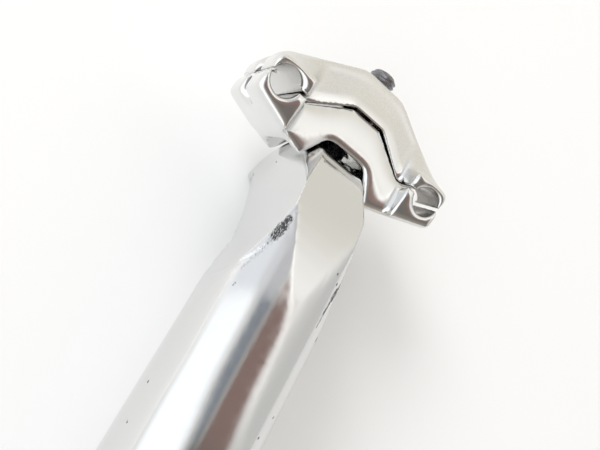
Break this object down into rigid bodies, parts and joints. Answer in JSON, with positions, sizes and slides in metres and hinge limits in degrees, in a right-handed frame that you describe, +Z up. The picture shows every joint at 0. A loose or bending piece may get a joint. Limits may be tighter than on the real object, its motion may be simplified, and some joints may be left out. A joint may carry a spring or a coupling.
{
  "type": "bicycle seatpost",
  "caption": "Straight round tube with a forged blade-shaped head and a gull-winged bolted clamp that grips a saddle's rails and sets its tilt.",
  "frame": {"origin": "on the floor under the post's plane of symmetry, midway between the tube's lower end and the bolt's tip", "axes": "+X along the lying post from the tube's lower end to the head, +Y to the rider's right, +Z up from the floor, which is the front of the post when it is fitted"},
  "size_m": [0.2412, 0.0536, 0.0444],
  "materials": {
    "forged_aluminium": "polished",
    "clamp_aluminium": "satin",
    "bolt_steel": "dark"
  },
  "bodies": {
    "post": {"post": "forged_aluminium"},
    "clamp": {"lower_cradle": "clamp_aluminium", "upper_clamp": "clamp_aluminium", "clamp_bolt": "bolt_steel", "curved_washer": "bolt_steel"}
  },
  "joints": [
    {"name": "saddle_tilt", "type": "hinge", "parent": "post", "child": "clamp", "pos_m": [0.07152, 0, 0.01387], "axis": [0, 1, 0], "range_deg": [-6, 12]}
  ]
}
